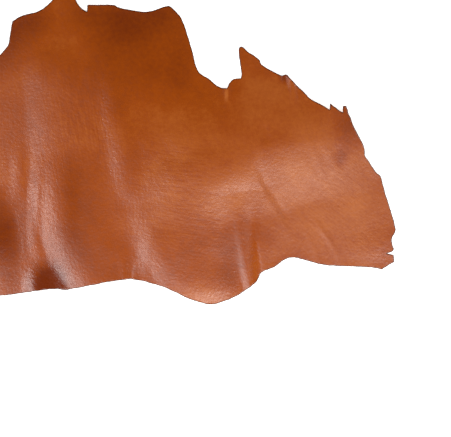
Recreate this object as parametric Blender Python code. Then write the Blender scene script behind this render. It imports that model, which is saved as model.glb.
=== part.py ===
"""A side of vegetable-tanned cowhide, lying on a floor.

A side is half of a hide, cut along the backbone. It lies grain side up, with the neck to the right (+X), the
belly edge and its shank flaps away from the viewer (+Y) and the backbone cut towards the viewer (-Y). The
leather is stiff enough to keep soft waves from its roll, so parts of it lie flat on the floor and the rest
arches a few centimetres over it.

Run with: blender --background --python part.py
"""

import math
from collections import namedtuple

import bmesh
import bpy
import numpy as np
from mathutils import Vector, geometry, kdtree

CM = 0.01

# Driving sizes, in metres
THICKNESS = 0.002
EDGE_STEP = 0.022  # longest straight piece of the cut edge
ROW_STEP = 0.027  # width of the mesh rows that run along the hide
SLIVER = 0.0009  # points closer than this are merged after the sheet is cut up
CREST_STEP = 0.012  # spacing of the points that follow a fold's crest
FLOOR_SINK = 0.0015  # swells lower than this lie flat on the floor
FLOOR_KNEE = 0.004  # how softly the leather leaves the floor
CURL_REACH = 0.030  # width of the border that curls up
CURL_HEIGHT = 0.0015  # the most that the border curls up
CURL_WAVES = 13  # how often the curl comes and goes round the hide
CURL_DRIFT = 5  # a slower change on top of it, so that no two curls match
HANDLE_SHARE = 1 / 6  # a curve's handle, as a share of the way between a point's two neighbours

# The cut edge, in centimetres. along runs from the rump to the neck, and across from the backbone cut to the
# belly. A sharp point is a corner of the cut, and the edge runs smoothly through a soft one.
EdgePoint = namedtuple("EdgePoint", "along across corner")
SOFT, SHARP = False, True

BELLY_EDGE = [
    EdgePoint(-81.0, 79.0, SOFT),  # hind shank flap
    EdgePoint(-78.5, 88.0, SOFT),
    EdgePoint(-73.0, 93.5, SOFT),
    EdgePoint(-66.0, 94.5, SOFT),
    EdgePoint(-60.5, 90.5, SOFT),
    EdgePoint(-56.5, 83.5, SOFT),
    EdgePoint(-50.5, 78.0, SOFT),  # flank
    EdgePoint(-41.0, 75.0, SOFT),
    EdgePoint(-28.0, 74.0, SOFT),
    EdgePoint(-15.0, 75.5, SOFT),
    EdgePoint(-5.0, 79.2, SOFT),
    EdgePoint(2.0, 85.2, SOFT),
    EdgePoint(3.4, 90.0, SOFT),
    EdgePoint(4.2, 94.2, SHARP),  # first flap of the fore shank
    EdgePoint(7.3, 96.0, SOFT),
    EdgePoint(13.3, 97.7, SOFT),
    EdgePoint(17.3, 101.0, SOFT),
    EdgePoint(21.0, 104.6, SOFT),
    EdgePoint(24.0, 103.2, SOFT),
    EdgePoint(26.7, 99.0, SOFT),
    EdgePoint(29.1, 97.3, SHARP),
    EdgePoint(29.3, 99.5, SHARP),  # second flap of the fore shank
    EdgePoint(37.7, 99.7, SOFT),
    EdgePoint(39.5, 98.8, SOFT),
    EdgePoint(46.5, 97.5, SOFT),
    EdgePoint(50.2, 97.5, SOFT),
    EdgePoint(55.0, 99.1, SOFT),
    EdgePoint(57.2, 98.8, SOFT),
    EdgePoint(60.7, 94.7, SOFT),
    EdgePoint(62.8, 88.7, SOFT),
    EdgePoint(64.7, 82.0, SOFT),
    EdgePoint(65.2, 79.3, SOFT),
    EdgePoint(67.0, 76.6, SOFT),
    EdgePoint(70.0, 74.7, SOFT),
    EdgePoint(72.6, 72.5, SOFT),
    EdgePoint(75.5, 71.7, SHARP),
    EdgePoint(77.0, 74.2, SOFT),  # brisket point
    EdgePoint(78.2, 75.0, SOFT),
    EdgePoint(80.2, 75.1, SHARP),
    EdgePoint(80.4, 77.5, SOFT),
    EdgePoint(79.5, 84.2, SOFT),
    EdgePoint(80.4, 85.8, SOFT),
    EdgePoint(83.3, 83.6, SOFT),
    EdgePoint(86.5, 81.4, SOFT),
    EdgePoint(87.2, 79.8, SOFT),
    EdgePoint(93.4, 76.2, SOFT),
    EdgePoint(95.4, 76.4, SOFT),
    EdgePoint(97.3, 74.3, SOFT),
    EdgePoint(101.7, 70.0, SOFT),
    EdgePoint(103.3, 68.2, SOFT),
    EdgePoint(107.0, 66.3, SOFT),
    EdgePoint(109.7, 64.5, SHARP),
    EdgePoint(109.9, 66.9, SHARP),  # first torn point
    EdgePoint(112.9, 64.3, SOFT),
    EdgePoint(114.2, 63.8, SHARP),
]

NECK_END = [
    EdgePoint(114.1, 65.8, SHARP),  # second torn point
    EdgePoint(115.2, 66.0, SHARP),
    EdgePoint(117.7, 59.3, SOFT),
    EdgePoint(121.1, 52.6, SOFT),
    EdgePoint(121.4, 49.7, SHARP),
    EdgePoint(125.2, 44.0, SOFT),
    EdgePoint(126.9, 42.4, SOFT),
    EdgePoint(128.0, 38.3, SOFT),
    EdgePoint(131.3, 27.7, SOFT),
    EdgePoint(131.8, 24.6, SOFT),
    EdgePoint(130.6, 22.0, SOFT),
    EdgePoint(130.7, 19.7, SOFT),
    EdgePoint(131.3, 18.2, SOFT),
    EdgePoint(130.6, 17.3, SHARP),
    EdgePoint(128.8, 16.9, SHARP),  # short slit
    EdgePoint(131.2, 16.3, SHARP),
    EdgePoint(131.4, 13.9, SHARP),
    EdgePoint(130.0, 13.3, SOFT),
    EdgePoint(127.4, 11.4, SHARP),
]

BACKBONE_CUT = [
    EdgePoint(123.3, 12.2, SOFT),
    EdgePoint(112.0, 12.7, SOFT),
    EdgePoint(106.5, 13.3, SOFT),
    EdgePoint(98.5, 15.4, SOFT),
    EdgePoint(94.7, 14.7, SOFT),
    EdgePoint(91.7, 12.5, SOFT),
    EdgePoint(87.2, 10.5, SOFT),
    EdgePoint(85.0, 7.0, SOFT),
    EdgePoint(78.3, 2.5, SOFT),
    EdgePoint(71.0, 0.0, SOFT),
    EdgePoint(64.0, 1.5, SOFT),
    EdgePoint(57.0, 4.7, SOFT),
    EdgePoint(53.3, 6.2, SOFT),
    EdgePoint(47.0, 7.8, SOFT),
    EdgePoint(43.3, 8.3, SHARP),
    EdgePoint(36.7, 7.5, SOFT),
    EdgePoint(30.0, 6.2, SOFT),
    EdgePoint(22.0, 4.7, SOFT),
    EdgePoint(18.7, 5.0, SOFT),
    EdgePoint(11.0, 4.2, SOFT),
    EdgePoint(0.0, 2.7, SOFT),
    EdgePoint(-20.0, 1.8, SOFT),
    EdgePoint(-45.0, 2.2, SOFT),
    EdgePoint(-64.0, 4.5, SOFT),
]

RUMP_END = [
    EdgePoint(-77.0, 10.5, SOFT),
    EdgePoint(-85.0, 21.0, SOFT),
    EdgePoint(-88.5, 35.0, SOFT),
    EdgePoint(-87.5, 50.0, SOFT),
    EdgePoint(-83.5, 64.0, SOFT),
]

# The waves, in centimetres. Each follows a crest, given as points with the height of the wave there. left and
# right are how far it reaches to either side of the crest, looking along its points. A wave that ends inside the
# sheet ends at height 0.
Wave = namedtuple("Wave", "crest left right shape")
Crest = namedtuple("Crest", "along across height")

# How a wave falls from its crest to its foot: a low bend is a sharper crest, and a low foot a sharper foot.
Shape = namedtuple("Shape", "bend foot")
ROUND = Shape(bend=2.0, foot=2.0)
BROW = Shape(bend=1.4, foot=1.6)
CREASED = Shape(bend=2.0, foot=1.2)

BROAD_SWELL = Wave(
    [
        Crest(39, 35, 0.0),
        Crest(47, 39, 0.9),
        Crest(57, 44, 1.9),
        Crest(68, 48.5, 2.8),
        Crest(83, 51.3, 3.5),
        Crest(97, 53, 3.5),
        Crest(110, 55.5, 2.9),
        Crest(121, 58, 1.7),
        Crest(134, 60, 0.8),
    ],
    left=31,
    right=25,
    shape=BROW,
)
SHOULDER_RIDGE = Wave(
    [
        Crest(12, 91, 0.0),
        Crest(15.5, 80, 0.4),
        Crest(17.8, 68, 0.9),
        Crest(18.5, 52, 1.35),
        Crest(19.3, 38, 1.6),
        Crest(22, 25, 1.6),
        Crest(27.5, 14, 1.55),
        Crest(34.5, 4, 1.4),
        Crest(40, -6, 1.3),
    ],
    left=17,
    right=10.5,
    shape=CREASED,
)
SHOULDER_RISE = Wave(
    [Crest(15, 85, 0.0), Crest(16.7, 77, 0.8), Crest(16.7, 65, 0.5), Crest(16, 51, 0.0)],
    left=10,
    right=14,
    shape=ROUND,
)
SHANK_FLAP_RIDGE = Wave(
    [Crest(29, 112, 0.9), Crest(29.3, 97, 0.9), Crest(30, 84, 0.7), Crest(33, 64, 0.0)],
    left=14,
    right=14,
    shape=ROUND,
)
LOW_RIDGE = Wave(
    [Crest(6.2, 56, 0.0), Crest(6.7, 48, 0.6), Crest(6.9, 38, 0.6), Crest(6.9, 29, 0.0)],
    left=4,
    right=5.5,
    shape=ROUND,
)
SADDLE_WAVE = Wave(
    [
        Crest(-6, 42, 0.0),
        Crest(-5, 32, 1.5),
        Crest(-4, 22, 2.2),
        Crest(-3, 12, 1.4),
        Crest(-2, 2, 0.3),
    ],
    left=13,
    right=12,
    shape=ROUND,
)
BACKBONE_RIDGE = Wave(
    [Crest(11.3, 16, 0.0), Crest(11.7, 9, 0.9), Crest(12.2, 2, 1.8), Crest(13, -6, 2.5)],
    left=8.5,
    right=6,
    shape=ROUND,
)
LOBE_SWELL = Wave(
    [
        Crest(36, 30, 0.0),
        Crest(49, 34, 0.5),
        Crest(61, 37, 1.2),
        Crest(74, 39, 1.2),
        Crest(88, 40, 0.0),
    ],
    left=14,
    right=34,
    shape=ROUND,
)
LOBE_LEFT_SIDE = Wave(
    [
        Crest(49.5, 34, 0.0),
        Crest(52.3, 26, 0.9),
        Crest(55.3, 18, 1.7),
        Crest(59, 10.5, 2.0),
        Crest(63, 3, 1.6),
        Crest(66, -4, 1.4),
    ],
    left=28,
    right=14,
    shape=ROUND,
)
LOBE_ROLL = Wave(
    [Crest(58, 7.5, 0.0), Crest(64, 6, 0.6), Crest(69.5, 5.2, 0.8), Crest(75, 5.8, 0.6), Crest(80, 8, 0.0)],
    left=12,
    right=7,
    shape=ROUND,
)
LOBE_RIGHT_SIDE = Wave(
    [
        Crest(79, 37, 0.0),
        Crest(80.4, 30, 0.8),
        Crest(81.6, 22, 1.4),
        Crest(82.7, 14, 1.6),
        Crest(84.4, 5, 1.5),
        Crest(85.4, 0, 1.3),
    ],
    left=20,
    right=6.5,
    shape=ROUND,
)
NECK_RIDGE = Wave(
    [Crest(114, 14, 0.0), Crest(120, 18, 0.5), Crest(128, 19, 0.6), Crest(140, 19, 0.6)],
    left=10.5,
    right=10,
    shape=ROUND,
)
LOIN_WAVE = Wave(
    [
        Crest(-26, 88, 1.7),
        Crest(-24, 60, 2.4),
        Crest(-22, 34, 2.2),
        Crest(-19, 12, 1.7),
        Crest(-18, -8, 1.7),
    ],
    left=15,
    right=12,
    shape=ROUND,
)
RUMP_WAVE = Wave(
    [Crest(-60, 70, 0.0), Crest(-58, 50, 1.9), Crest(-54, 28, 2.2), Crest(-50, -8, 1.8)],
    left=13,
    right=14,
    shape=ROUND,
)
WAVES = [
    BROAD_SWELL,
    SHOULDER_RIDGE,
    SHOULDER_RISE,
    SHANK_FLAP_RIDGE,
    LOW_RIDGE,
    SADDLE_WAVE,
    BACKBONE_RIDGE,
    LOBE_SWELL,
    LOBE_LEFT_SIDE,
    LOBE_ROLL,
    LOBE_RIGHT_SIDE,
    NECK_RIDGE,
    LOIN_WAVE,
    RUMP_WAVE,
]

# The columns of the mesh are closer where the folds are narrow.
Stretch = namedtuple("Stretch", "start column")
STRETCHES = [
    Stretch(-90.0, 4.5),
    Stretch(0.0, 2.2),
    Stretch(36.0, 2.8),
]
NECK_LIMIT = 134.0


def clear_scene():
    for obj in list(bpy.data.objects):
        bpy.data.objects.remove(obj)


def leather_material():
    """Tan, drum-dyed and lightly glazed leather."""
    material = bpy.data.materials.new("tan_leather")
    material.use_nodes = True
    shader = material.node_tree.nodes["Principled BSDF"]
    shader.inputs["Base Color"].default_value = (0.36, 0.095, 0.02, 1.0)
    shader.inputs["Roughness"].default_value = 0.45
    shader.inputs["Metallic"].default_value = 0.0
    return material


def edge_handle(before, after, corner):
    """The curve's handle at a point of the edge; a corner has none."""
    return Vector((0.0, 0.0)) if corner else (after - before) * HANDLE_SHARE


def cut_edge(step):
    """The closed cut edge as points in metres, no further apart than step, in a ring."""
    table = BELLY_EDGE + NECK_END + BACKBONE_CUT + RUMP_END
    spots = [Vector((p.along, p.across)) * CM for p in table]
    count = len(table)
    ring = []
    for i, point in enumerate(table):
        here, there = spots[i], spots[(i + 1) % count]
        leave = edge_handle(spots[i - 1], there, point.corner)
        arrive = edge_handle(here, spots[(i + 2) % count], table[(i + 1) % count].corner)
        longest = (there - here).length / 2
        for handle in (leave, arrive):
            if handle.length > longest:
                handle.length = longest
        pieces = max(1, math.ceil((there - here).length / step))
        curve = geometry.interpolate_bezier(here, here + leave, there - arrive, there, pieces + 1)
        ring.extend(curve[:-1])
    return ring


def crest_line(wave):
    """The crest of a wave as closely spaced points in metres, with the wave's height at each."""
    spots = [Vector((c.along, c.across, c.height)) * CM for c in wave.crest]
    ends = [2 * spots[0] - spots[1], *spots, 2 * spots[-1] - spots[-2]]
    line = []
    for before, here, there, after in zip(ends, ends[1:], ends[2:], ends[3:]):
        pieces = max(2, math.ceil((there - here).length / CREST_STEP))
        leave, arrive = (there - before) * HANDLE_SHARE, (after - here) * HANDLE_SHARE
        curve = geometry.interpolate_bezier(here, here + leave, there - arrive, there, pieces + 1)
        line.extend(curve[:-1])
    line.append(spots[-1])
    return np.array(line)


def wave_height(wave, spots):
    """The height that one wave gives to each spot of the sheet."""
    line = crest_line(wave)
    start, run = line[:-1, :2], np.diff(line[:, :2], axis=0)
    away = spots[:, None, :] - start
    share = np.clip((away * run).sum(2) / (run * run).sum(1), 0, 1)
    gap = np.linalg.norm(away - share[..., None] * run, axis=2)
    nearest = gap.argmin(1)
    each = np.arange(len(spots))
    share, gap, away = share[each, nearest], gap[each, nearest], away[each, nearest]
    crest = line[nearest, 2] + share * (line[nearest + 1, 2] - line[nearest, 2])
    turn = run[nearest, 0] * away[:, 1] - run[nearest, 1] * away[:, 0]
    reach = np.where(turn > 0, wave.left, wave.right) * CM
    return crest * np.clip(1 - (gap / reach) ** wave.shape.bend, 0, None) ** wave.shape.foot


def edge_curl(spots, ring):
    """How far the border of the sheet curls up, which comes and goes along the cut edge."""
    tree = kdtree.KDTree(len(ring))
    for i, point in enumerate(ring):
        tree.insert((*point, 0.0), i)
    tree.balance()
    curl = np.empty(len(spots))
    for row, spot in enumerate(spots):
        _, i, gap = tree.find((*spot, 0.0))
        turn = 2 * math.pi * i / len(ring)
        strength = 0.5 + 0.3 * math.sin(CURL_WAVES * turn) + 0.2 * math.sin(CURL_DRIFT * turn)
        curl[row] = CURL_HEIGHT * strength * max(0.0, 1 - gap / CURL_REACH) ** 2
    return curl


def underside(spots, ring):
    """The height of the flesh side over the floor: 0 where the hide lies flat."""
    swell = sum(wave_height(wave, spots) for wave in WAVES)
    swell = np.clip(swell - FLOOR_SINK, 0, None)
    return swell * swell / (swell + FLOOR_KNEE) + edge_curl(spots, ring)


def column_places():
    """Where the columns of the mesh are cut, in metres."""
    ends = [stretch.start for stretch in STRETCHES[1:]] + [NECK_LIMIT]
    places = []
    for stretch, end in zip(STRETCHES, ends):
        count = round((end - stretch.start) / stretch.column)
        places.extend(stretch.start + (end - stretch.start) * i / count for i in range(count))
    return [place * CM for place in places]


def slice_sheet(bm, places, direction):
    """Cuts the flat sheet along parallel lines, from the first place to the last."""
    whole = list(bm.verts) + list(bm.edges) + list(bm.faces)
    for place in places:
        bmesh.ops.bisect_plane(bm, geom=whole, plane_co=direction * place, plane_no=direction)
        ahead = [face for face in bm.faces if face.calc_center_median().dot(direction) > place]
        edges = {edge for face in ahead for edge in face.edges}
        whole = list({vert for edge in edges for vert in edge.verts}) + list(edges) + ahead


def sheet_mesh(ring):
    """The flesh side of the hide as a mesh, with its waves, before it has a thickness."""
    bm = bmesh.new()
    bm.faces.new([bm.verts.new((*point, 0.0)) for point in ring])
    top = max(point.y for point in ring)
    rows = [ROW_STEP * i for i in range(1, math.ceil(top / ROW_STEP))]
    slice_sheet(bm, column_places(), Vector((1, 0, 0)))
    slice_sheet(bm, rows, Vector((0, 1, 0)))
    bmesh.ops.remove_doubles(bm, verts=bm.verts, dist=SLIVER)
    bm.normal_update()
    for face in bm.faces:
        if face.normal.z < 0:
            face.normal_flip()
    bm.verts.ensure_lookup_table()
    spots = np.array([vert.co.xy for vert in bm.verts])
    for vert, height in zip(bm.verts, underside(spots, ring)):
        vert.co.z = height
    bmesh.ops.triangulate(bm, faces=bm.faces)
    mesh = bpy.data.meshes.new("hide")
    bm.to_mesh(mesh)
    bm.free()
    return mesh


def make_hide():
    ring = cut_edge(EDGE_STEP)
    mesh = sheet_mesh(ring)
    mesh.materials.append(leather_material())
    mesh.shade_smooth()
    hide = bpy.data.objects.new("hide", mesh)
    bpy.context.collection.objects.link(hide)
    reach = [(min(values), max(values)) for values in zip(*ring)]
    hide.location = (-sum(reach[0]) / 2, -sum(reach[1]) / 2, 0.0)
    grain = hide.modifiers.new("thickness", "SOLIDIFY")
    grain.thickness = THICKNESS
    grain.offset = 1.0
    grain.use_even_offset = True
    return hide


clear_scene()
make_hide()
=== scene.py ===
"""A side of tan cowhide, laid out grain side up on a pale floor and seen from straight above.

A side is half of a hide, cut along the backbone. The neck is to the right, the belly edge and its shank
flaps at the top and the backbone cut at the bottom. The sheet is cut to its outline, raised into the soft
waves and sharper creases that the leather keeps from its roll, and given its thickness. Its grain side, its
flesh side and its cut edge each have a finish of their own.
"""

import math
from collections import namedtuple

import bmesh
import bpy
import numpy as np
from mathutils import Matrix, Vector, geometry, kdtree, noise


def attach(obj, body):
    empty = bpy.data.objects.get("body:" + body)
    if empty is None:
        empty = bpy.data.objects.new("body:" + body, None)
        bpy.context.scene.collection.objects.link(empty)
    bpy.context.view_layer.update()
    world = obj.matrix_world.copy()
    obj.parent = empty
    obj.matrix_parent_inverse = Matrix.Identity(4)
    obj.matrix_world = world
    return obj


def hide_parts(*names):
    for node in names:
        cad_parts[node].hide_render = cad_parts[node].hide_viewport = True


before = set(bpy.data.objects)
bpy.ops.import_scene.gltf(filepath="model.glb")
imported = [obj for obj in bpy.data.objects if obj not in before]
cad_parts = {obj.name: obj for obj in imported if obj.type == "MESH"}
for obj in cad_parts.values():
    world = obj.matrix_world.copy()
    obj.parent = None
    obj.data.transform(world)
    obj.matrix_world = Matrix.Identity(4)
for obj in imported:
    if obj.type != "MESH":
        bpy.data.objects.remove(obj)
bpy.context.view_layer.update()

CM = 0.01
MM = 0.001

# The sheet
THICKNESS = 2 * MM
EDGE_STEP = 4.5 * MM  # longest straight piece of the cut edge
GRID_STEP = 5.8 * MM  # mesh squares in the part of the sheet that the camera sees
FAR_STEP = 9.6 * MM  # and in the rump
RUMP_LIMIT, NECK_LIMIT = -90 * CM, 134 * CM
SEEN_FROM = -4 * CM
SLIVER = 0.9 * MM  # points closer than this are merged after the sheet is cut up
CREST_STEP = 12 * MM  # spacing of the points that follow a fold's crest
HANDLE_SHARE = 1 / 6  # a curve's handle, as a share of the way between a point's two neighbours
FLOOR_SINK = 1.5 * MM  # swells lower than this lie flat on the floor
FLOOR_KNEE = 4 * MM  # how softly the leather leaves the floor

# The knife wavered, in sizes along the cut edge and in depth
RAGGED = [(26 * MM, 1.6 * MM), (11 * MM, 1.1 * MM)]
OTHER_LAYER = 5.0  # far enough off in the noise to be unlike the first layer

# The border of the sheet curls up here and there.
CURL_REACH = 30 * MM
CURL_HEIGHT = 1.5 * MM
CURL_WAVES, CURL_DRIFT = 13, 5

# The sheet is never quite even: a slow unevenness, in sizes across and in height
UNEVEN = [(140 * MM, 1.6 * MM), (52 * MM, 0.7 * MM)]

# The camera looks straight down, and its picture is as wide as this at the floor.
VIEW_WIDTH = 150.33 * CM
VIEW_CENTRE = (75.17 * CM, 28.5 * CM)  # along and across the hide
LENS, SENSOR = 85.0, 36.0

# Wrinkles in the grain: how far each kind is turned from the length of the hide, in degrees, how long and how
# wide they are, and how high they stand
WRINKLE_TURNS = (-8, -38, -80)
WRINKLE_LENGTH, WRINKLE_WIDTH = 55 * MM, 6 * MM
WRINKLE_DEPTH = 0.6 * MM
# Their crests are painted paler and their hollows darker: partly rubbed dye, partly painted light and shade
WRINKLE_RUB_AND_SHADE = 0.45  # how much paler their crests are

# How far in from the edge its dye has bled: in full, and at all
BLEED_FULL, BLEED_END = 1.0 * MM, 3.5 * MM

# A Mix node's sockets for colours
MIX_A, MIX_B, MIX_OUT = 6, 7, 2

# The studio, in metres and watts. right and up are measured in the picture, from its middle.
Light = namedtuple("Light", "name right up height width depth power")
LIGHTS = [
    Light("corner_key", -1.8, -1.6, 2.6, 1.4, 1.4, 66),
    Light("side_key", -2.4, -0.2, 2.6, 0.8, 1.4, 40),
    Light("low_key", 0.6, -1.4, 2.6, 2.4, 0.8, 70),
    Light("left_fill", -3.2, 1.6, 1.8, 1.6, 1.6, 25),
    Light("right_fill", 3.2, 0.8, 1.8, 1.6, 1.6, 68),
]
ROOM_LIGHT = 0.03
FLOOR_HALF = 9.0
FLOOR_GLOW = 0.6

# The cut edge, in centimetres. along runs from the rump to the neck, and across from the backbone cut to the
# belly. A sharp point is a corner of the cut, and the edge runs smoothly through a soft one.
EdgePoint = namedtuple("EdgePoint", "along across corner")
SOFT, SHARP = False, True

BELLY_EDGE = [
    EdgePoint(-81.0, 79.0, SOFT),  # hind shank flap
    EdgePoint(-78.5, 88.0, SOFT),
    EdgePoint(-73.0, 93.5, SOFT),
    EdgePoint(-66.0, 94.5, SOFT),
    EdgePoint(-60.5, 90.5, SOFT),
    EdgePoint(-56.5, 83.5, SOFT),
    EdgePoint(-50.5, 78.0, SOFT),  # flank
    EdgePoint(-41.0, 75.0, SOFT),
    EdgePoint(-28.0, 74.0, SOFT),
    EdgePoint(-15.0, 75.5, SOFT),
    EdgePoint(-5.0, 79.2, SOFT),
    EdgePoint(2.0, 85.2, SOFT),
    EdgePoint(3.4, 90.0, SOFT),
    EdgePoint(4.2, 94.2, SHARP),  # first flap of the fore shank
    EdgePoint(7.3, 96.0, SOFT),
    EdgePoint(13.3, 97.7, SOFT),
    EdgePoint(17.3, 101.0, SOFT),
    EdgePoint(21.0, 104.6, SOFT),
    EdgePoint(24.0, 103.2, SOFT),
    EdgePoint(26.7, 99.0, SOFT),
    EdgePoint(29.1, 97.3, SHARP),
    EdgePoint(29.3, 99.5, SHARP),  # second flap of the fore shank
    EdgePoint(37.7, 99.7, SOFT),
    EdgePoint(39.5, 98.8, SOFT),
    EdgePoint(46.5, 97.5, SOFT),
    EdgePoint(50.2, 97.5, SOFT),
    EdgePoint(55.0, 99.1, SOFT),
    EdgePoint(57.2, 98.8, SOFT),
    EdgePoint(60.7, 94.7, SOFT),
    EdgePoint(62.8, 88.7, SOFT),
    EdgePoint(64.7, 82.0, SOFT),
    EdgePoint(65.2, 79.3, SOFT),
    EdgePoint(67.0, 76.6, SOFT),
    EdgePoint(70.0, 74.7, SOFT),
    EdgePoint(72.6, 72.5, SOFT),
    EdgePoint(75.5, 71.7, SHARP),
    EdgePoint(77.0, 74.2, SOFT),  # brisket point
    EdgePoint(78.2, 75.0, SOFT),
    EdgePoint(80.2, 75.1, SHARP),
    EdgePoint(80.4, 77.5, SOFT),
    EdgePoint(79.5, 84.2, SOFT),
    EdgePoint(80.4, 85.8, SOFT),
    EdgePoint(83.3, 83.6, SOFT),
    EdgePoint(86.5, 81.4, SOFT),
    EdgePoint(87.2, 79.8, SOFT),
    EdgePoint(93.4, 76.2, SOFT),
    EdgePoint(95.4, 76.4, SOFT),
    EdgePoint(97.3, 74.3, SOFT),
    EdgePoint(101.7, 70.0, SOFT),
    EdgePoint(103.3, 68.2, SOFT),
    EdgePoint(107.0, 66.3, SOFT),
    EdgePoint(109.7, 64.5, SHARP),
    EdgePoint(109.9, 66.9, SHARP),  # first torn point
    EdgePoint(112.9, 64.3, SOFT),
    EdgePoint(114.2, 63.8, SHARP),
]

NECK_END = [
    EdgePoint(114.1, 65.8, SHARP),  # second torn point
    EdgePoint(115.2, 66.0, SHARP),
    EdgePoint(117.7, 59.3, SOFT),
    EdgePoint(121.1, 52.6, SOFT),
    EdgePoint(121.4, 49.7, SHARP),
    EdgePoint(125.2, 44.0, SOFT),
    EdgePoint(126.9, 42.4, SOFT),
    EdgePoint(128.0, 38.3, SOFT),
    EdgePoint(131.3, 27.7, SOFT),
    EdgePoint(131.8, 24.6, SOFT),
    EdgePoint(130.6, 22.0, SOFT),
    EdgePoint(130.7, 19.7, SOFT),
    EdgePoint(131.3, 18.2, SOFT),
    EdgePoint(130.6, 17.3, SHARP),
    EdgePoint(128.8, 16.9, SHARP),  # short slit
    EdgePoint(131.2, 16.3, SHARP),
    EdgePoint(131.4, 13.9, SHARP),
    EdgePoint(130.0, 13.3, SOFT),
    EdgePoint(127.4, 11.4, SHARP),
]

BACKBONE_CUT = [
    EdgePoint(123.3, 12.2, SOFT),
    EdgePoint(112.0, 12.7, SOFT),
    EdgePoint(106.5, 13.3, SOFT),
    EdgePoint(98.5, 15.4, SOFT),
    EdgePoint(94.7, 14.7, SOFT),
    EdgePoint(91.7, 12.5, SOFT),
    EdgePoint(87.2, 10.5, SOFT),
    EdgePoint(85.0, 7.0, SOFT),
    EdgePoint(78.3, 2.5, SOFT),
    EdgePoint(71.0, 0.0, SOFT),
    EdgePoint(64.0, 1.5, SOFT),
    EdgePoint(57.0, 4.7, SOFT),
    EdgePoint(53.3, 6.2, SOFT),
    EdgePoint(47.0, 7.8, SOFT),
    EdgePoint(43.3, 8.3, SHARP),
    EdgePoint(36.7, 7.5, SOFT),
    EdgePoint(30.0, 6.2, SOFT),
    EdgePoint(22.0, 4.7, SOFT),
    EdgePoint(18.7, 5.0, SOFT),
    EdgePoint(11.0, 4.2, SOFT),
    EdgePoint(0.0, 2.7, SOFT),
    EdgePoint(-20.0, 1.8, SOFT),
    EdgePoint(-45.0, 2.2, SOFT),
    EdgePoint(-64.0, 4.5, SOFT),
]

RUMP_END = [
    EdgePoint(-77.0, 10.5, SOFT),
    EdgePoint(-85.0, 21.0, SOFT),
    EdgePoint(-88.5, 35.0, SOFT),
    EdgePoint(-87.5, 50.0, SOFT),
    EdgePoint(-83.5, 64.0, SOFT),
]

# The waves and creases, in centimetres. Each follows a crest, given as points with the height of the wave
# there. left and right are how far it reaches to either side of the crest, looking along its points. A valley
# has a negative height.
Wave = namedtuple("Wave", "crest left right shape")
Crest = namedtuple("Crest", "along across height")

# How a wave falls from its crest to its foot: a low bend is a sharper crest, and a low foot a sharper foot.
Shape = namedtuple("Shape", "bend foot")
ROUND = Shape(bend=2.0, foot=2.0)
BROW = Shape(bend=1.55, foot=1.7)
CREASED = Shape(bend=2.0, foot=1.2)

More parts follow.
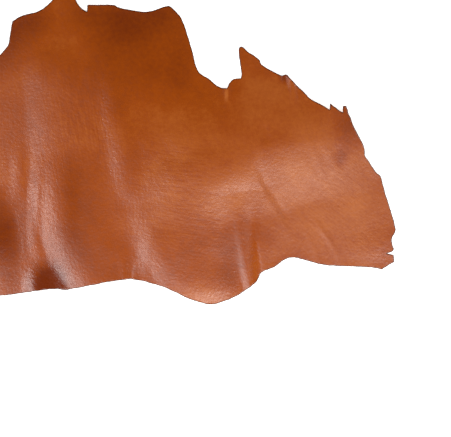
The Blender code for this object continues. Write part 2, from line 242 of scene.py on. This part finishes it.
WAVES = [
    # Broad swell along the middle
    Wave(
        [
            Crest(39, 35, 0.0), Crest(47, 39, 0.9), Crest(57, 44, 1.9), Crest(68, 48.5, 2.8),
            Crest(83, 51.3, 3.5), Crest(97, 53, 3.5), Crest(110, 55.5, 2.9), Crest(121, 58, 1.7),
            Crest(134, 60, 0.8),
        ],
        left=31, right=25, shape=BROW,
    ),
    # Shoulder ridge
    Wave(
        [
            Crest(12, 91, 0.0), Crest(15.5, 80, 0.4), Crest(17.8, 68, 0.9), Crest(18.5, 52, 1.35),
            Crest(19.3, 38, 1.6), Crest(22, 25, 1.6), Crest(27.5, 14, 1.55), Crest(34.5, 4, 1.4),
            Crest(40, -6, 1.3),
        ],
        left=17, right=10.5, shape=CREASED,
    ),
    # Soft rise left of its upper end
    Wave(
        [Crest(15.5, 87, 0.0), Crest(18, 78, 0.8), Crest(19.4, 65, 0.5), Crest(18, 50, 0.0)],
        left=10, right=14, shape=ROUND,
    ),
    # Ridge below the second shank flap
    Wave(
        [Crest(29, 112, 0.9), Crest(29.3, 97, 0.9), Crest(30, 84, 0.7), Crest(33, 64, 0.0)],
        left=14, right=14, shape=ROUND,
    ),
    # Low ridge beside the shoulder ridge, and the next one towards the loin
    Wave(
        [Crest(6.2, 56, 0.0), Crest(6.7, 48, 0.6), Crest(6.9, 38, 0.6), Crest(6.9, 29, 0.0)],
        left=4, right=5.5, shape=ROUND,
    ),
    Wave(
        [
            Crest(-6, 42, 0.0), Crest(-5, 32, 1.3), Crest(-4, 22, 1.85), Crest(-3, 12, 1.2),
            Crest(-2, 2, 0.3),
        ],
        left=13, right=12, shape=ROUND,
    ),
    # Ridge at the backbone cut
    Wave(
        [Crest(11.3, 16, 0.0), Crest(11.7, 9, 0.9), Crest(12.2, 2, 1.8), Crest(13, -6, 2.5)],
        left=8.5, right=6, shape=ROUND,
    ),
    # Left side of the backbone lobe
    Wave(
        [
            Crest(49.5, 34, 0.0), Crest(52.3, 26, 0.9), Crest(55.3, 18, 1.85),
            Crest(59, 10.5, 2.15), Crest(63, 3, 1.75), Crest(66, -4, 1.5),
        ],
        left=28, right=14, shape=ROUND,
    ),
    # Roll of its lower edge
    Wave(
        [
            Crest(58, 7.5, 0.0), Crest(64, 6, 0.6), Crest(69.5, 5.2, 0.8), Crest(75, 5.8, 0.6),
            Crest(80, 8, 0.0),
        ],
        left=12, right=7, shape=ROUND,
    ),
    # Right side of the backbone lobe
    Wave(
        [
            Crest(79, 37, 0.0), Crest(80.4, 30, 0.8), Crest(81.7, 22, 1.4), Crest(83.2, 14, 1.6),
            Crest(85.2, 5, 1.5), Crest(86.4, 0, 1.3),
        ],
        left=20, right=5.8, shape=ROUND,
    ),
    # Low swell over the lobe, which tips its dish towards the edge
    Wave(
        [
            Crest(36, 30, 0.0), Crest(49, 34, 0.5), Crest(61, 37, 1.2), Crest(74, 39, 1.2),
            Crest(88, 40, 0),
        ],
        left=14, right=34, shape=ROUND,
    ),
    # Low ridge along the neck's backbone cut
    Wave(
        [Crest(114, 14, 0.0), Crest(120, 18, 0.5), Crest(128, 19, 0.6), Crest(140, 19, 0.6)],
        left=10.5, right=10, shape=ROUND,
    ),
    # Waves across the loin and the rump
    Wave(
        [
            Crest(-26, 88, 1.7), Crest(-24, 60, 2.4), Crest(-22, 34, 2.2), Crest(-19, 12, 1.7),
            Crest(-18, -8, 1.7),
        ],
        left=15, right=12, shape=ROUND,
    ),
    Wave(
        [Crest(-60, 70, 0.0), Crest(-58, 50, 1.9), Crest(-54, 28, 2.2), Crest(-50, -8, 1.8)],
        left=13, right=14, shape=ROUND,
    ),
]

# The finer creases, which the solid leaves out
CREASES = [
    # Step along the slanting valley
    Wave(
        [
            Crest(82.3, 51, 0.0), Crest(85, 44, 0.35), Crest(87.5, 38.5, 0.4), Crest(92, 31.5, 0.3),
            Crest(98, 21, 0.0),
        ],
        left=2.4, right=9, shape=ROUND,
    ),
    # Slanting valley from the swell to the neck's side of the lobe
    Wave(
        [
            Crest(83.8, 48, 0.0), Crest(86.4, 43, -0.16), Crest(88.9, 38.5, -0.22),
            Crest(91.7, 34, -0.22), Crest(95, 29.3, -0.2), Crest(97.8, 24.5, -0.18),
            Crest(101.2, 17.5, -0.12), Crest(104, 9, -0.08),
        ],
        left=1.9, right=1.6, shape=ROUND,
    ),
    # Narrow valley between the lobe and the neck
    Wave(
        [
            Crest(82.6, 33, 0.0), Crest(83.4, 27, -0.4), Crest(84.5, 19, -0.6),
            Crest(85.8, 12, -0.6), Crest(87.2, 6, -0.6),
        ],
        left=2.8, right=3.6, shape=ROUND,
    ),
    # Straight strand of the shoulder ridge
    Wave(
        [
            Crest(13.4, 50, 0.0), Crest(12.4, 40, 0.2), Crest(11.9, 30, 0.25), Crest(12.2, 20, 0.2),
            Crest(14, 12, 0),
        ],
        left=2.5, right=3.4, shape=ROUND,
    ),
    # Thin strip right of the shoulder ridge
    Wave(
        [
            Crest(35.6, 89, 0.0), Crest(37.6, 72, 0.38), Crest(40, 56, 0.42), Crest(42, 44, 0.35),
            Crest(43, 33, 0.0),
        ],
        left=6, right=6.5, shape=ROUND,
    ),
    # Low ridge left of the backbone lobe, and a pucker where its cut begins
    Wave(
        [Crest(52, 26, 0.0), Crest(50.3, 18, 0.35), Crest(49, 12, 0.5), Crest(48, 5, 0.5)],
        left=16, right=4.5, shape=ROUND,
    ),
    Wave(
        [Crest(41.4, 20, 0.0), Crest(42, 13, 0.2), Crest(42.4, 6, 0.35)],
        left=1.1, right=3.0, shape=ROUND,
    ),
    Wave(
        [Crest(45.6, 16, 0.0), Crest(44.8, 11, 0.2), Crest(44.4, 6, 0.35)],
        left=3.0, right=1.0, shape=ROUND,
    ),
    # Folds in the lower right of the backbone lobe
    Wave(
        [Crest(66, 30, 0.0), Crest(71, 21, 0.1), Crest(75, 11, 0.0)],
        left=2.6, right=3.0, shape=ROUND,
    ),
    Wave(
        [Crest(75, 30, 0.0), Crest(76.5, 22, 0.15), Crest(78.5, 8, 0.15), Crest(79, -2, 0.15)],
        left=2.2, right=2.6, shape=ROUND,
    ),
    # Streaks towards the neck
    Wave(
        [
            Crest(105, 28, 0.0), Crest(107, 24.8, 0.24), Crest(110, 20.5, 0.26),
            Crest(111.8, 16.5, 0.2), Crest(112.6, 13, 0),
        ],
        left=1.6, right=1.1, shape=ROUND,
    ),
    Wave(
        [Crest(101, 50, 0.0), Crest(104, 43, 0.1), Crest(108, 38, 0.0)],
        left=1.6, right=1.4, shape=ROUND,
    ),
    Wave(
        [Crest(98, 66, 0.0), Crest(101.5, 58, 0.1), Crest(105, 49, 0.12), Crest(110, 37, 0.0)],
        left=2.2, right=2.6, shape=ROUND,
    ),
    Wave(
        [Crest(104, 63, 0.0), Crest(107.5, 55, 0.12), Crest(110.5, 48, 0.12), Crest(114, 40, 0.0)],
        left=2.0, right=2.4, shape=ROUND,
    ),
    Wave(
        [Crest(99, 32, 0.0), Crest(103, 22, 0.12), Crest(107, 13, 0.12)],
        left=1.4, right=1.4, shape=ROUND,
    ),
    # Under the bay of the belly edge
    Wave(
        [Crest(75.7, 76, 0.3), Crest(75.8, 70, 0.3), Crest(76.2, 64, 0.0)],
        left=1.6, right=2.0, shape=ROUND,
    ),
    # At the brisket
    Wave(
        [Crest(96.4, 82, 0.6), Crest(97, 75, 0.6), Crest(98.4, 64, 0.0)],
        left=2.0, right=1.7, shape=ROUND,
    ),
    Wave(
        [Crest(94.3, 84, -0.5), Crest(94.5, 77, -0.5), Crest(95.4, 70, 0.0)],
        left=1.6, right=1.4, shape=ROUND,
    ),
    # Dimples
    Wave(
        [Crest(88, 58, -0.22), Crest(88.4, 55, -0.22)],
        left=2.2, right=2.2, shape=ROUND,
    ),
    Wave(
        [Crest(112.5, 51, -0.1), Crest(113, 47, -0.1)],
        left=2.4, right=2.4, shape=ROUND,
    ),
]

# Patches where the colour is darker or paler, in centimetres: mostly where the dye took unevenly, but some
# are painted shade, and one is a painted highlight. A positive amount is darker, and a negative one paler.
Patch = namedtuple("Patch", "along across long_half wide_half amount")
PATCH_REACH = 2.2  # a patch has faded out at its half sizes times the root of this
TONES = [
    # The next three darken the belly edge: partly darker dye, partly painted shade where the sheet falls away
    # from the light
    Patch(45, 97, 22, 9, 0.6),
    Patch(8, 95, 9, 9, 0.6),
    Patch(0, 84, 7, 9, 0.5),
    Patch(45, 84, 30, 16, 0.2),
    Patch(22, 90, 7, 16, -0.15),
    Patch(40, 80, 12, 14, 0.2),
    Patch(63, 80, 8, 12, 0.2),
    Patch(88, 68, 9, 9, -0.25),
    Patch(62, 50, 26, 16, -0.2),
    Patch(86, 40, 18, 12, -0.3),
    Patch(112, 34, 20, 22, -0.45),
    Patch(104, 60, 10, 9, -0.3),
    Patch(117, 60, 6, 8, 0.5),
    Patch(60, 32, 20, 10, -0.2),
    Patch(70, 1, 14, 6, -0.5),
    Patch(24, 35, 7, 11, 0.3),
    Patch(30, 20, 8, 16, 0.25),
    Patch(113.6, 48.6, 2.2, 3.2, 0.5),
    # Painted shade, on darker dye, on the flank of the ridge at the backbone cut that faces away from the
    # light
    Patch(16.5, 6, 7, 8, 1.2),
    Patch(20, 15, 9, 13, 0.35),
    # Painted shade, on darker dye, on the flank at the left edge that faces away from the light
    Patch(-1, 22, 12, 14, 0.8),
    Patch(6, 6, 6, 6, 0.3),
    Patch(77, 14, 5, 11, 0.35),
    # Painted shadow in the crease at the brisket
    Patch(94.6, 76, 1.6, 2.4, 0.9),
    # Painted highlight along the crease under the bay of the belly edge
    Patch(75.5, 69.8, 0.6, 2.5, -0.9),
]

# Where the glaze lies smoother, or thinner and rougher where amount is negative
GLAZES = [
    Patch(40, 94, 46, 18, 1.0),
    Patch(56, 72, 24, 18, 0.9),
    Patch(14, 64, 18, 16, -0.5),
    Patch(112, 32, 28, 28, -1.0),
    Patch(68, 22, 22, 20, -0.5),
    Patch(85, 15, 1.8, 14, 1.3),
    Patch(1, 22, 5, 9, 0.9),
    Patch(24, 34, 3, 12, 0.6),
    Patch(16, 7, 7, 7, 1.0),
]

# Where the grain is wrinkled, in centimetres, and how strongly for each way that the wrinkles run
Wrinkled = namedtuple("Wrinkled", "along across long_half wide_half lengthwise slanting crosswise")
WRINKLED = [
    Wrinkled(14, 36, 7, 26, 0.0, 0.0, 0.75),
    Wrinkled(27, 60, 14, 19, 0.0, 0.5, 0.9),
    Wrinkled(64, 26, 22, 24, 0.9, 0.2, 0.0),
    Wrinkled(56, 46, 13, 10, 0.7, 0.0, 0.0),
    Wrinkled(100, 34, 24, 22, 0.2, 0.45, 0.15),
    Wrinkled(115, 44, 12, 20, 0.0, 0.5, 0.35),
    Wrinkled(124, 18, 10, 12, 0.6, 0.6, 0.3),
    Wrinkled(-20, 30, 50, 40, 0.3, 0.3, 0.2),
]


def linear(code):
    """A colour written as sRGB hex, as linear light."""
    parts = [int(code[i : i + 2], 16) / 255 for i in (1, 3, 5)]
    return (*(c / 12.92 if c <= 0.04045 else ((c + 0.055) / 1.055) ** 2.4 for c in parts), 1.0)


def edge_handle(before, after, corner):
    """The curve's handle at a point of the edge; a corner has none."""
    return Vector((0.0, 0.0)) if corner else (after - before) * HANDLE_SHARE


def cut_edge(step):
    """The closed cut edge as points in metres, no further apart than step, in a ring."""
    table = BELLY_EDGE + NECK_END + BACKBONE_CUT + RUMP_END
    spots = [Vector((p.along, p.across)) * CM for p in table]
    count = len(table)
    ring = []
    for i, point in enumerate(table):
        here, there = spots[i], spots[(i + 1) % count]
        leave = edge_handle(spots[i - 1], there, point.corner)
        arrive = edge_handle(here, spots[(i + 2) % count], table[(i + 1) % count].corner)
        longest = (there - here).length / 2
        for handle in (leave, arrive):
            if handle.length > longest:
                handle.length = longest
        pieces = max(1, math.ceil((there - here).length / step))
        curve = geometry.interpolate_bezier(here, here + leave, there - arrive, there, pieces + 1)
        ring.extend(curve[:-1])
    for point in ring:
        x, y = point
        for size, depth in RAGGED:
            point.x += depth * noise.noise((x / size, y / size, 0.0))
            point.y += depth * noise.noise((x / size, y / size, OTHER_LAYER))
    return ring


def crest_line(wave):
    """The crest of a wave as closely spaced points in metres, with the wave's height at each."""
    spots = [Vector((c.along, c.across, c.height)) * CM for c in wave.crest]
    ends = [2 * spots[0] - spots[1], *spots, 2 * spots[-1] - spots[-2]]
    line = []
    for before, here, there, after in zip(ends, ends[1:], ends[2:], ends[3:]):
        pieces = max(2, math.ceil((there - here).length / CREST_STEP))
        leave, arrive = (there - before) * HANDLE_SHARE, (after - here) * HANDLE_SHARE
        curve = geometry.interpolate_bezier(here, here + leave, there - arrive, there, pieces + 1)
        line.extend(curve[:-1])
    line.append(spots[-1])
    return np.array(line)


def wave_height(wave, spots):
    """The height that one wave gives to each spot of the sheet."""
    line = crest_line(wave)
    widest = max(wave.left, wave.right) * CM
    low, high = line[:, :2].min(0) - widest, line[:, :2].max(0) + widest
    near = np.flatnonzero(((spots > low) & (spots < high)).all(1))
    start, run = line[:-1, :2], np.diff(line[:, :2], axis=0)
    away = spots[near, None, :] - start
    share = np.clip((away * run).sum(2) / (run * run).sum(1), 0, 1)
    gap = np.linalg.norm(away - share[..., None] * run, axis=2)
    nearest = gap.argmin(1)
    each = np.arange(len(near))
    share, gap, away = share[each, nearest], gap[each, nearest], away[each, nearest]
    crest = line[nearest, 2] + share * (line[nearest + 1, 2] - line[nearest, 2])
    turn = run[nearest, 0] * away[:, 1] - run[nearest, 1] * away[:, 0]
    reach = np.where(turn > 0, wave.left, wave.right) * CM
    height = np.zeros(len(spots))
    height[near] = crest * np.clip(1 - (gap / reach) ** wave.shape.bend, 0, None) ** wave.shape.foot
    return height


def edge_gaps(spots, ring):
    """How far each spot is from the cut edge, and how far round the hide that is, from 0 to 1."""
    tree = kdtree.KDTree(len(ring))
    for i, point in enumerate(ring):
        tree.insert((*point, 0.0), i)
    tree.balance()
    found = [tree.find((*spot, 0.0)) for spot in spots]
    points = np.array([tuple(point) for point in ring])
    index = np.array([i for _, i, _ in found])
    gap = np.full(len(spots), np.inf)
    for first, second in ((index - 1, index), (index, (index + 1) % len(ring))):
        start, run = points[first], points[second] - points[first]
        share = np.clip(((spots - start) * run).sum(1) / (run * run).sum(1), 0, 1)
        gap = np.minimum(gap, np.linalg.norm(spots - start - share[:, None] * run, axis=1))
    return gap, index / len(ring)


def unevenness(spots):
    """The slow unevenness of the sheet."""
    height = np.zeros(len(spots))
    for size, depth in UNEVEN:
        height += depth * np.array([noise.noise((x / size, y / size, size / CM)) for x, y in spots])
    return height


def underside(spots, gap, way_round):
    """The height of the flesh side over the floor: 0 where the hide lies flat."""
    swell = sum(wave_height(wave, spots) for wave in WAVES)
    swell = np.clip(swell + unevenness(spots) - FLOOR_SINK, 0, None)
    creased = sum(wave_height(crease, spots) for crease in CREASES)
    turn = 2 * math.pi * way_round
    strength = 0.5 + 0.3 * np.sin(CURL_WAVES * turn) + 0.2 * np.sin(CURL_DRIFT * turn)
    curl = CURL_HEIGHT * strength * np.clip(1 - gap / CURL_REACH, 0, None) ** 2
    return np.clip(swell * swell / (swell + FLOOR_KNEE) + creased, 0, None) + curl


def soft_patch(patch, spots):
    """1 in the middle of a patch of the sheet, falling softly to 0 at its rim."""
    along = (spots[:, 0] / CM - patch.along) / patch.long_half
    across = (spots[:, 1] / CM - patch.across) / patch.wide_half
    return np.clip(1 - (along**2 + across**2) / PATCH_REACH, 0, None) ** 2


def column_places():
    """Where the sheet is cut across, in metres: closer together in the part that the camera sees."""
    far = round((SEEN_FROM - RUMP_LIMIT) / FAR_STEP)
    near = round((NECK_LIMIT - SEEN_FROM) / GRID_STEP)
    rear = np.linspace(RUMP_LIMIT, SEEN_FROM, far, endpoint=False)
    return [*rear, *np.linspace(SEEN_FROM, NECK_LIMIT, near)]


def slice_sheet(bm, places, direction):
    """Cuts the flat sheet along parallel lines, each time only what lies ahead of the last cut."""
    ahead = list(bm.faces)
    for place in places:
        edges = list(dict.fromkeys(edge for face in ahead for edge in face.edges))
        verts = list(dict.fromkeys(vert for edge in edges for vert in edge.verts))
        cut = bmesh.ops.bisect_plane(
            bm, geom=verts + edges + ahead, plane_co=direction * place, plane_no=direction
        )
        faces = [part for part in cut["geom"] if isinstance(part, bmesh.types.BMFace)]
        ahead = [face for face in faces if face.calc_center_median().dot(direction) > place]


def attribute(mesh, name, kind, values):
    """Keeps a value for each point of a mesh, for its material to read."""
    field = "vector" if kind == "FLOAT_VECTOR" else "value"
    made = mesh.attributes.new(name, kind, "POINT")
    made.data.foreach_set(field, np.asarray(values, dtype=np.float32).ravel())


def hide_sheet(materials):
    """The whole side as one sheet, with its waves, and its grain, flesh and edge finishes."""
    ring = cut_edge(EDGE_STEP)
    reach = np.array([(min(values), max(values)) for values in zip(*ring)])
    bm = bmesh.new()
    bm.faces.new([bm.verts.new((*point, 0.0)) for point in ring])
    rows = math.ceil(reach[1, 1] / GRID_STEP)
    slice_sheet(bm, column_places(), Vector((1, 0, 0)))
    slice_sheet(bm, np.linspace(0, rows * GRID_STEP, rows + 1)[1:-1], Vector((0, 1, 0)))
    bmesh.ops.remove_doubles(bm, verts=bm.verts, dist=SLIVER)
    bm.normal_update()
    bmesh.ops.reverse_faces(bm, faces=[face for face in bm.faces if face.normal.z < 0])
    bmesh.ops.triangulate(bm, faces=[face for face in bm.faces if len(face.verts) > 4])
    mesh = bpy.data.meshes.new("hide_sheet")
    bm.to_mesh(mesh)
    bm.free()

    spots = np.empty(len(mesh.vertices) * 3)
    mesh.vertices.foreach_get("co", spots)
    spots = spots.reshape(-1, 3)[:, :2]
    gap, way_round = edge_gaps(spots, ring)
    heights = underside(spots, gap, way_round) + THICKNESS
    mesh.vertices.foreach_set("co", np.column_stack([spots - reach.mean(1), heights]).ravel())
    attribute(mesh, "edge_gap", "FLOAT", gap)
    attribute(mesh, "tone", "FLOAT", sum(patch.amount * soft_patch(patch, spots) for patch in TONES))
    attribute(mesh, "glaze", "FLOAT", sum(patch.amount * soft_patch(patch, spots) for patch in GLAZES))
    wrinkles = np.zeros((len(spots), 3))
    for zone in WRINKLED:
        wrinkles += np.outer(soft_patch(zone, spots), (zone.lengthwise, zone.slanting, zone.crosswise))
    attribute(mesh, "wrinkles", "FLOAT_VECTOR", np.clip(wrinkles, 0, 1))
    mesh.shade_smooth()
    laid_area = sum(face.area for face in mesh.polygons)
    for material in materials:
        mesh.materials.append(material)

    piece = bpy.data.objects.new("hide_sheet", mesh)
    bpy.context.scene.collection.objects.link(piece)
    body = piece.modifiers.new("thickness", "SOLIDIFY")
    body.thickness = THICKNESS
    body.offset = -1.0
    body.material_offset = 1
    body.material_offset_rim = 2
    return piece, reach, laid_area


def add_node(tree, kind, inputs=(), **settings):
    """Adds a node with its settings; inputs gives each socket a value, or the output that feeds it."""
    node = tree.nodes.new("ShaderNode" + kind)
    for name, value in settings.items():
        setattr(node, name, value)
    for name, value in dict(inputs).items():
        if isinstance(value, bpy.types.NodeSocket):
            tree.links.new(value, node.inputs[name])
        else:
            node.inputs[name].default_value = value
    return node


def new_material(name):
    """An empty node material: its tree and its Principled shader."""
    material = bpy.data.materials.new(name)
    material.use_nodes = True
    tree = material.node_tree
    return material, tree, tree.nodes["Principled BSDF"]


def grain_leather():
    """Full-grain leather, drum-dyed tan and lightly glazed: a saturated brown with a soft, uneven gloss."""
    material, tree, shader = new_material("drum_dyed_full_grain_leather")
    place = add_node(tree, "TexCoord").outputs["Object"]
    tone = add_node(tree, "Attribute", attribute_name="tone").outputs["Fac"]
    glaze = add_node(tree, "Attribute", attribute_name="glaze").outputs["Fac"]
    gap = add_node(tree, "Attribute", attribute_name="edge_gap").outputs["Fac"]
    wrinkled = add_node(tree, "Attribute", attribute_name="wrinkles").outputs["Vector"]

    # Wrinkles: noise drawn out along each way that they run, only where the grain is wrinkled. Their crests
    # are painted paler and their hollows darker: partly dye rubbed thinner, partly painted light and shade.
    crests = 0.0
    strength = add_node(tree, "SeparateXYZ", {"Vector": wrinkled})
    for turn, output in zip(WRINKLE_TURNS, strength.outputs):
        turned = add_node(
            tree,
            "Mapping",
            {
                "Vector": place,
                "Rotation": (0, 0, math.radians(turn)),
                "Scale": (WRINKLE_LENGTH, WRINKLE_WIDTH, WRINKLE_LENGTH),
            },
            vector_type="TEXTURE",
        )
        lines = add_node(
            tree,
            "TexNoise",
            {"Vector": turned.outputs[0], "Scale": 1.0, "Detail": 3.0, "Roughness": 0.5, "Distortion": 0.4},
        )
        level = add_node(tree, "Math", {0: lines.outputs["Fac"], 1: 0.5}, operation="SUBTRACT")
        crests = add_node(
            tree, "Math", {0: level.outputs[0], 1: output, 2: crests}, operation="MULTIPLY_ADD"
        ).outputs[0]

    # The dye took unevenly: slow clouds and a fine mottle, on the patches of the tone. Some of these patches
    # are painted shade, and one is a painted highlight.
    clouds = add_node(
        tree, "TexNoise", {"Vector": place, "Scale": 1 / (160 * MM), "Detail": 4.0, "Roughness": 0.55}
    ).outputs["Fac"]
    mottle = add_node(
        tree, "TexNoise", {"Vector": place, "Scale": 1 / (14 * MM), "Detail": 5.0, "Roughness": 0.6}
    ).outputs["Fac"]
    colour_level = add_node(tree, "Math", {0: clouds, 1: 0.5, 2: 0.08}, operation="MULTIPLY_ADD")
    colour_level = add_node(tree, "Math", {0: mottle, 1: 0.35, 2: colour_level.outputs[0]}, operation="MULTIPLY_ADD")
    colour_level = add_node(tree, "Math", {0: tone, 1: 0.5, 2: colour_level.outputs[0]}, operation="MULTIPLY_ADD")
    # Painted light and shade on the wrinkles, with rubbed dye: paler crests, darker hollows
    colour_level = add_node(tree, "Math", {0: crests, 1: -WRINKLE_RUB_AND_SHADE, 2: colour_level.outputs[0]}, operation="MULTIPLY_ADD")
    ramp = add_node(tree, "ValToRGB", {"Fac": colour_level.outputs[0]})
    pale, deep = ramp.color_ramp.elements
    pale.position, pale.color = 0.1, linear("#a65a24")
    deep.position, deep.color = 1.0, linear("#602204")
    ramp.color_ramp.elements.new(0.5).color = linear("#8a3c06")

    # The dye of the cut edge has bled a little into the grain side.
    bleed = add_node(
        tree,
        "MapRange",
        {"Value": gap, "From Min": BLEED_FULL, "From Max": BLEED_END, "To Min": 1.0, "To Max": 0.0},
    )
    colour = add_node(
        tree,
        "Mix",
        {0: bleed.outputs[0], MIX_A: ramp.outputs["Color"], MIX_B: linear("#3a1606")},
        data_type="RGBA",
    )
    tree.links.new(colour.outputs[MIX_OUT], shader.inputs["Base Color"])

    # The glaze is thinner on the pebbles and towards the neck, so the gloss comes and goes.
    gloss = add_node(
        tree,
        "MapRange",
        {"Value": mottle, "From Min": 0.3, "From Max": 0.7, "To Min": 0.3, "To Max": 0.38},
    )
    gloss = add_node(tree, "Math", {0: glaze, 1: -0.13, 2: gloss.outputs[0]}, operation="MULTIPLY_ADD")
    tree.links.new(gloss.outputs[0], shader.inputs["Roughness"])
    shader.inputs["IOR"].default_value = 1.5

    # Grain: pebbles of 1 to 2 mm, drawn at 7 mm and 3 mm so that they show from this far away
    pebbles = add_node(tree, "TexVoronoi", {"Vector": place, "Scale": 1 / (7 * MM)}, feature="SMOOTH_F1")
    pores = add_node(tree, "TexNoise", {"Vector": place, "Scale": 1 / (3 * MM), "Detail": 3.0}).outputs["Fac"]
    height = add_node(tree, "Math", {0: pebbles.outputs["Distance"], 1: 0.2 * MM}, operation="MULTIPLY")
    height = add_node(tree, "Math", {0: pores, 1: 0.08 * MM, 2: height.outputs[0]}, operation="MULTIPLY_ADD")

    # Crinkle: the slack grain between the wrinkles
    crinkle = add_node(
        tree, "TexNoise", {"Vector": place, "Scale": 1 / (10 * MM), "Detail": 2.0, "Roughness": 0.5}
    ).outputs["Fac"]
    height = add_node(
        tree, "Math", {0: crinkle, 1: 0.75 * MM, 2: height.outputs[0]}, operation="MULTIPLY_ADD"
    )

    height = add_node(
        tree, "Math", {0: crests, 1: WRINKLE_DEPTH, 2: height.outputs[0]}, operation="MULTIPLY_ADD"
    )
    bump = add_node(tree, "Bump", {"Height": height.outputs[0], "Strength": 1.0, "Distance": 1.0})
    tree.links.new(bump.outputs["Normal"], shader.inputs["Normal"])
    return material


def flesh_leather():
    """The flesh side: shaved and undyed on top, so a paler, matt, fibrous brown with a short nap."""
    material, tree, shader = new_material("shaved_flesh_side_leather")
    place = add_node(tree, "TexCoord").outputs["Object"]
    clouds = add_node(
        tree, "TexNoise", {"Vector": place, "Scale": 1 / (90 * MM), "Detail": 5.0, "Roughness": 0.6}
    ).outputs["Fac"]
    fibres = add_node(
        tree, "TexNoise", {"Vector": place, "Scale": 1 / (4 * MM), "Detail": 6.0, "Roughness": 0.7}
    ).outputs["Fac"]
    colour_level = add_node(tree, "Math", {0: fibres, 1: 0.5}, operation="MULTIPLY")
    colour_level = add_node(tree, "Math", {0: clouds, 1: 0.6, 2: colour_level.outputs[0]}, operation="MULTIPLY_ADD")
    ramp = add_node(tree, "ValToRGB", {"Fac": colour_level.outputs[0]})
    deep, pale = ramp.color_ramp.elements
    deep.position, deep.color = 0.35, linear("#9a6238")
    pale.position, pale.color = 0.75, linear("#c4946a")
    tree.links.new(ramp.outputs["Color"], shader.inputs["Base Color"])
    shader.inputs["Roughness"].default_value = 0.92
    shader.inputs["Sheen Weight"].default_value = 0.25
    shader.inputs["Sheen Roughness"].default_value = 0.5
    height = add_node(tree, "Math", {0: fibres, 1: 0.9 * MM}, operation="MULTIPLY")
    bump = add_node(tree, "Bump", {"Height": height.outputs[0], "Strength": 1.0, "Distance": 1.0})
    tree.links.new(bump.outputs["Normal"], shader.inputs["Normal"])
    return material


def edge_leather():
    """The cut edge: fibrous, and dyed dark where the dye soaked in."""
    material, tree, shader = new_material("dyed_cut_edge_leather")
    place = add_node(tree, "TexCoord").outputs["Object"]
    fibres = add_node(tree, "TexNoise", {"Vector": place, "Scale": 1 / (3 * MM), "Detail": 4.0})
    ramp = add_node(tree, "ValToRGB", {"Fac": fibres.outputs["Fac"]})
    deep, pale = ramp.color_ramp.elements
    deep.position, deep.color = 0.3, linear("#2e1206")
    pale.position, pale.color = 0.75, linear("#6a3414")
    tree.links.new(ramp.outputs["Color"], shader.inputs["Base Color"])
    shader.inputs["Roughness"].default_value = 0.75
    return material


def light_table_top():
    """Opal acrylic, a little cloudy and lit from below: pure white, and almost without shadows."""
    material, tree, shader = new_material("opal_acrylic")
    place = add_node(tree, "TexCoord").outputs["Object"]
    clouds = add_node(tree, "TexNoise", {"Vector": place, "Scale": 1 / (600 * MM), "Detail": 2.0})
    ramp = add_node(tree, "ValToRGB", {"Fac": clouds.outputs["Fac"]})
    first, last = ramp.color_ramp.elements
    first.color, last.color = linear("#f6f6f5"), linear("#f9f9f8")
    tree.links.new(ramp.outputs["Color"], shader.inputs["Base Color"])
    shader.inputs["Roughness"].default_value = 0.9
    shader.inputs["Emission Color"].default_value = linear("#ffffff")
    shader.inputs["Emission Strength"].default_value = FLOOR_GLOW
    return material


def floor():
    """A plain white light table under the hide, level with the floor."""
    bm = bmesh.new()
    bmesh.ops.create_grid(bm, x_segments=1, y_segments=1, size=FLOOR_HALF)
    mesh = bpy.data.meshes.new("floor")
    bm.to_mesh(mesh)
    bm.free()
    mesh.materials.append(light_table_top())
    ground = bpy.data.objects.new("floor", mesh)
    bpy.context.scene.collection.objects.link(ground)


def soft_light(name, place, aim, size, power):
    """A large soft studio light, out of the camera's sight."""
    data = bpy.data.lights.new(name, "AREA")
    data.shape = "RECTANGLE"
    data.size, data.size_y = size
    data.energy = power
    lamp = bpy.data.objects.new(name, data)
    lamp.location = place
    lamp.rotation_euler = (Vector(aim) - Vector(place)).to_track_quat("-Z", "Y").to_euler()
    lamp.visible_camera = False
    bpy.context.scene.collection.objects.link(lamp)


def studio(centre):
    """The camera straight above the front of the hide, and the lights round it."""
    middle = Vector(VIEW_CENTRE) - Vector(centre)
    data = bpy.data.cameras.new("camera")
    data.lens, data.sensor_width, data.sensor_fit = LENS, SENSOR, "HORIZONTAL"
    camera = bpy.data.objects.new("camera", data)
    camera.location = (*middle, VIEW_WIDTH * LENS / SENSOR)
    bpy.context.scene.collection.objects.link(camera)
    bpy.context.scene.camera = camera

    aim = (*middle, 0.0)
    for light in LIGHTS:
        place = (middle.x + light.right, middle.y + light.up, light.height)
        soft_light(light.name, place, aim, (light.width, light.depth), light.power)
    world = bpy.data.worlds.new("pale_room")
    world.use_nodes = True
    world.node_tree.nodes["Background"].inputs["Color"].default_value = linear("#ffffff")
    world.node_tree.nodes["Background"].inputs["Strength"].default_value = ROOM_LIGHT
    bpy.context.scene.world = world
    bpy.context.scene.view_settings.view_transform = "Standard"


leather = [grain_leather(), flesh_leather(), edge_leather()]
hide, reach, area = hide_sheet(leather)
floor()
studio(reach.mean(1))

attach(hide, "root")
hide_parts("hide")
